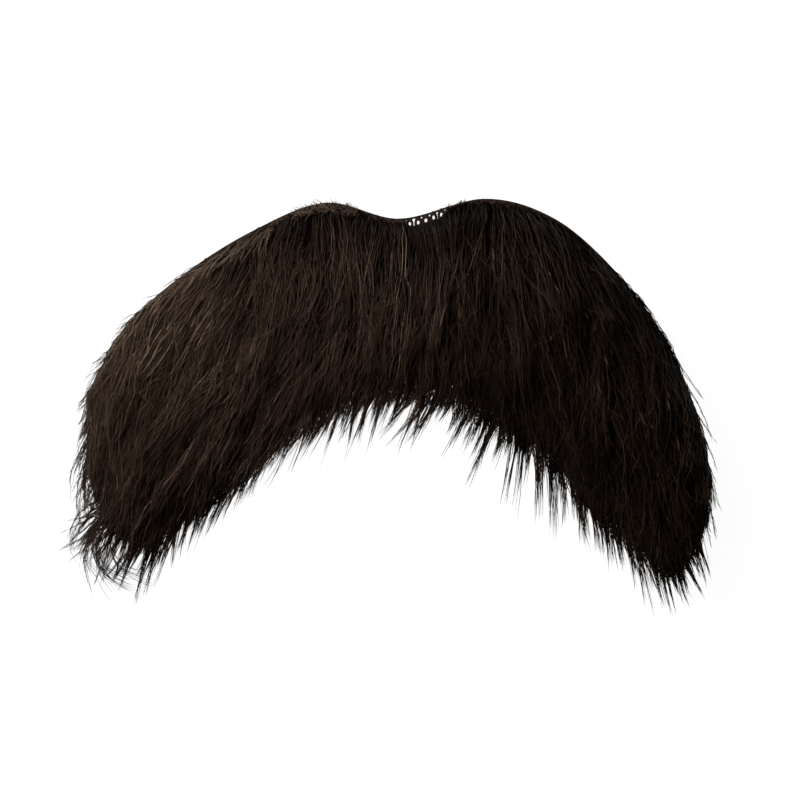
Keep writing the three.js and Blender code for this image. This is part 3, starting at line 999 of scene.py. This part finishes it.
class MakeEdgeLoops(bpy.types.Operator):
    """Run a row of small thread loops along the cloth's top edge, and one thread along their outside."""

    bl_idname = "moustache.make_edge_loops"
    bl_label = "Edge loops"

    def execute(self, context):
        size = sizes()
        thread = size.thread_thickness
        bpy.ops.object.select_all(action="DESELECT")
        bpy.ops.mesh.primitive_torus_add(
            major_segments=10, minor_segments=5, major_radius=size.loop_height / 2, minor_radius=thread / 2
        )
        pattern = bpy.context.active_object
        loop = np.array([v.co for v in pattern.data.vertices])
        faces = [tuple(p.vertices) for p in pattern.data.polygons]
        bpy.data.objects.remove(pattern)

        along = np.linspace(*LOOP_STRETCH, 2000)
        edge = band_point(along, np.zeros_like(along))
        walked = np.concatenate([[0], np.cumsum(np.linalg.norm(np.diff(edge, axis=0), axis=1))])
        count = round(walked[-1] / size.loop_spacing)
        rng = np.random.default_rng(5)
        shaken = np.arange(count) + 0.5 + rng.uniform(-LOOP_SHAKE, LOOP_SHAKE, count)
        at = np.interp(shaken / count * walked[-1], walked, along)
        middle = band_point(at, np.zeros(count))
        ways = outward(at)
        vertices, polygons = [], []
        for number in range(count):
            out = np.array([*ways[number], 0])
            beside = np.array([-out[1], out[0], 0])
            inward = size.loop_height * rng.uniform(*LOOP_INWARD)
            centre = np.array([*middle[number], CLOTH_TOP - thread / 2]) - out * inward
            tilt = rng.normal(0, LOOP_TILT)
            turned = beside * math.cos(tilt) + out * math.sin(tilt)
            ahead = out * math.cos(tilt) - beside * math.sin(tilt)
            length, height = rng.uniform(*LOOP_LENGTH), rng.uniform(*LOOP_TALLNESS)
            points = centre + np.outer(loop[:, 0], turned) * length + np.outer(loop[:, 1], ahead) * height
            points[:, 2] += loop[:, 2] * LOOP_FLATNESS
            polygons += [tuple(i + len(vertices) for i in face) for face in faces]
            vertices += [tuple(p) for p in points]
        mesh = bpy.data.meshes.new("edge_loops")
        mesh.from_pydata(vertices, [], polygons)
        mesh.polygons.foreach_set("use_smooth", np.ones(len(mesh.polygons), bool))
        loops = bpy.data.objects.new("edge_loops", mesh)
        context.collection.objects.link(loops)
        recalculate_normals(loops)
        dress(loops, thread_material())
        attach(loops, "root")

        shares = np.linspace(0, 1, EDGE_THREAD_RINGS + 1)
        at = np.interp(shares, (0, 1), EDGE_THREAD_STRETCH)
        line = band_point(at, np.zeros_like(at)) + outward(at) * EDGE_MARGIN / 2
        line = np.column_stack([line, np.full(len(line), CLOTH_TOP - thread / 2)])
        radii = np.full((1, EDGE_THREAD_RINGS), thread / 4)  # half as wide as the loops' thread
        along_edge = hair_mesh("edge_thread", line[None], shares[:-1], radii, np.zeros(1), np.zeros(1))
        dress(along_edge, named_material("edge thread", thread_material))
        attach(along_edge, "root")
        return {"FINISHED"}


class MakeUnderHair(bpy.types.Operator):
    """Fill the depth of the pile that the combed hairs hide."""

    bl_idname = "moustache.make_under_hair"
    bl_label = "Under hair"

    def execute(self, context):
        def place(along, down):
            inner = UNDER_ENDS + along * (1 - 2 * UNDER_ENDS)
            across = UNDER_SIDES + down * (cloth_reach(inner) - 2 * UNDER_SIDES)
            flat = band_point(inner, across)
            side = (down / 0.1, (1 - down) / 0.1)
            end = (along / 0.03, (1 - along) / 0.03)
            edge = np.minimum.reduce([np.ones_like(down), *side, *end])
            height = 0.1 * MM + UNDER_DEPTH * read("height", flat) * np.clip(edge, 0, 1)
            return np.column_stack([flat, CLOTH_TOP + height])

        mass = band_grid("under_hair", 150, 26, place)
        select_only(mass)
        bpy.ops.object.mode_set(mode="EDIT")
        bpy.ops.mesh.select_all(action="SELECT")
        bpy.ops.mesh.extrude_region_move(TRANSFORM_OT_translate={"value": (0, 0, -0.1 * MM)})
        bpy.ops.object.mode_set(mode="OBJECT")
        for vertex in mass.data.vertices:
            if vertex.select:
                vertex.co.z = CLOTH_TOP + 0.03 * MM
        recalculate_normals(mass)
        select_only(mass)
        bpy.ops.object.shade_smooth()
        dress(mass, under_hair_painted_shade_material())
        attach(mass, "root")
        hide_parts("hair")
        return {"FINISHED"}


class CombHair(bpy.types.Operator):
    """Comb the long hairs down and out, in wisps."""

    bl_idname = "moustache.comb_hair"
    bl_label = "Combed hair"

    def execute(self, context):
        hairs = comb_hair(np.random.default_rng(21))
        finish = hair_material()
        begin = 0
        for row in HAIR_PIECES:
            chosen = (hairs["along"] >= begin) & (hairs["along"] < row["to"] + (row["to"] == 1))
            begin = row["to"]
            piece = hair_mesh(
                row["name"], hairs["lines"][chosen], RINGS, hairs["radii"][chosen], hairs["rolls"][chosen],
                hairs["tones"][chosen],
            )
            dress(piece, finish)
            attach(piece, "root")
            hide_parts("hair")
        return {"FINISHED"}


def add_fine_hair(rng, name, lines, rings, tones):
    """A piece of long single hairs that taper from root to tip."""
    count = len(lines)
    thickness = sizes().hair_thickness * rng.uniform(0.7, 1.1, count)
    taper = np.linspace(1, 0.45, len(rings))
    rolls = rng.uniform(0, 2 * math.pi, count)
    piece = hair_mesh(
        name, lines, rings, thickness[:, None] / 2 * taper, rolls, tones * (1 - SIDES * TONE_WIDTH)
    )
    dress(piece, named_material("combed hair", hair_material))
    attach(piece, "root")
    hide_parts("hair")


class AddLooseHair(bpy.types.Operator):
    """Add the loose hairs: curls at the left end, strays at the edges, single ones over the pile, and a few
    light ones as painted glints.
    """

    bl_idname = "moustache.add_loose_hair"
    bl_label = "Loose hair"

    def execute(self, context):
        rng = np.random.default_rng(33)
        groups = [loose_hair(rng, group) for group in LOOSE_HAIRS]
        lines, tones = (np.concatenate(part) for part in zip(*groups))
        add_fine_hair(rng, "loose_hair", lines, CURL_RINGS, tones)
        return {"FINISHED"}


class AddFringe(bpy.types.Operator):
    """Add the long hairs that end in the thin wisps of the fringe."""

    bl_idname = "moustache.add_fringe"
    bl_label = "Fringe"

    def execute(self, context):
        rng = np.random.default_rng(41)
        lines = fringe_hair(rng)
        add_fine_hair(rng, "fringe_hair", lines, FRINGE_RINGS, rng.beta(2, 3.4, len(lines)))
        return {"FINISHED"}


def add_light(name, place, size, power):
    """A soft square light that faces the middle of the floor."""
    data = bpy.data.lights.new(name, "AREA")
    data.shape = "SQUARE"
    data.size = size
    data.energy = power
    lamp = bpy.data.objects.new(name, data)
    lamp.location = place
    lamp.rotation_mode = "QUATERNION"
    lamp.rotation_quaternion = (-Vector(place)).to_track_quat("-Z", "Y")
    lamp.visible_camera = False
    bpy.context.collection.objects.link(lamp)


def pale_room():
    """A room that looks pale but lights the hair only a little."""
    world = bpy.data.worlds.new("soft room")
    world.use_nodes = True
    nodes, links = world.node_tree.nodes, world.node_tree.links
    seen = nodes.new("ShaderNodeLightPath")
    strength = nodes.new("ShaderNodeMapRange")
    strength.inputs["To Min"].default_value = ROOM_LIGHT
    strength.inputs["To Max"].default_value = ROOM_SEEN
    links.new(seen.outputs["Is Camera Ray"], strength.inputs["Value"])
    nodes["Background"].inputs["Color"].default_value = (1, 1, 1, 1)
    links.new(strength.outputs["Result"], nodes["Background"].inputs["Strength"])
    return world


class SetStage(bpy.types.Operator):
    """Set the pale floor, the soft lights and the camera."""

    bl_idname = "moustache.set_stage"
    bl_label = "Stage"

    def execute(self, context):
        bpy.ops.object.select_all(action="DESELECT")
        bpy.ops.mesh.primitive_plane_add(size=4, location=(0, 0, 0))
        floor = context.active_object
        floor.name = "floor"
        made, _, _, shader = material("pale floor")
        shader.inputs["Base Color"].default_value = (*colours().floor, 1)
        shader.inputs["Roughness"].default_value = 0.9
        shader.inputs["Specular IOR Level"].default_value = 0.1
        shader.inputs["Emission Color"].default_value = (1, 1, 1, 1)
        shader.inputs["Emission Strength"].default_value = FLOOR_GLOW
        dress(floor, made)

        context.scene.world = pale_room()
        add_light("key light", **KEY_LIGHT)
        add_light("fill light", **FILL_LIGHT)

        camera = bpy.data.cameras.new("camera")
        camera.lens = 100
        view = bpy.data.objects.new("camera", camera)
        view.location = (0, 0, VIEW_WIDTH * camera.lens / camera.sensor_width)
        context.collection.objects.link(view)
        context.scene.camera = view
        context.scene.view_settings.view_transform = "Standard"
        return {"FINISHED"}


class MoustachePanel(bpy.types.Panel):
    """Lists the moustache's pieces and sizes."""

    bl_idname = "VIEW3D_PT_moustache"
    bl_label = "Moustache"
    bl_space_type = "VIEW_3D"
    bl_region_type = "UI"
    bl_category = "Moustache"

    def draw(self, context):
        for group in (context.scene.moustache_sizes, context.scene.moustache_colours):
            for key in group.bl_rna.properties.keys():
                if key not in ("rna_type", "name"):
                    self.layout.prop(group, key)
        for operator in OPERATORS:
            self.layout.operator(operator.bl_idname)


OPERATORS = (SetStage, MakeCloth, MakeEdgeLoops, MakeUnderHair, CombHair, AddLooseHair, AddFringe)
CLASSES = (MoustacheSizes, MoustacheColours, *OPERATORS, MoustachePanel)


def register():
    for each in CLASSES:
        bpy.utils.register_class(each)
    bpy.types.Scene.moustache_sizes = bpy.props.PointerProperty(type=MoustacheSizes)
    bpy.types.Scene.moustache_colours = bpy.props.PointerProperty(type=MoustacheColours)


def unregister():
    del bpy.types.Scene.moustache_colours
    del bpy.types.Scene.moustache_sizes
    for each in reversed(CLASSES):
        bpy.utils.unregister_class(each)


def main():
    register()
    bpy.ops.moustache.set_stage()
    bpy.ops.moustache.make_cloth()
    bpy.ops.moustache.make_edge_loops()
    bpy.ops.moustache.make_under_hair()
    bpy.ops.moustache.comb_hair()
    bpy.ops.moustache.add_loose_hair()
    bpy.ops.moustache.add_fringe()


if __name__ == "__main__":
    main()
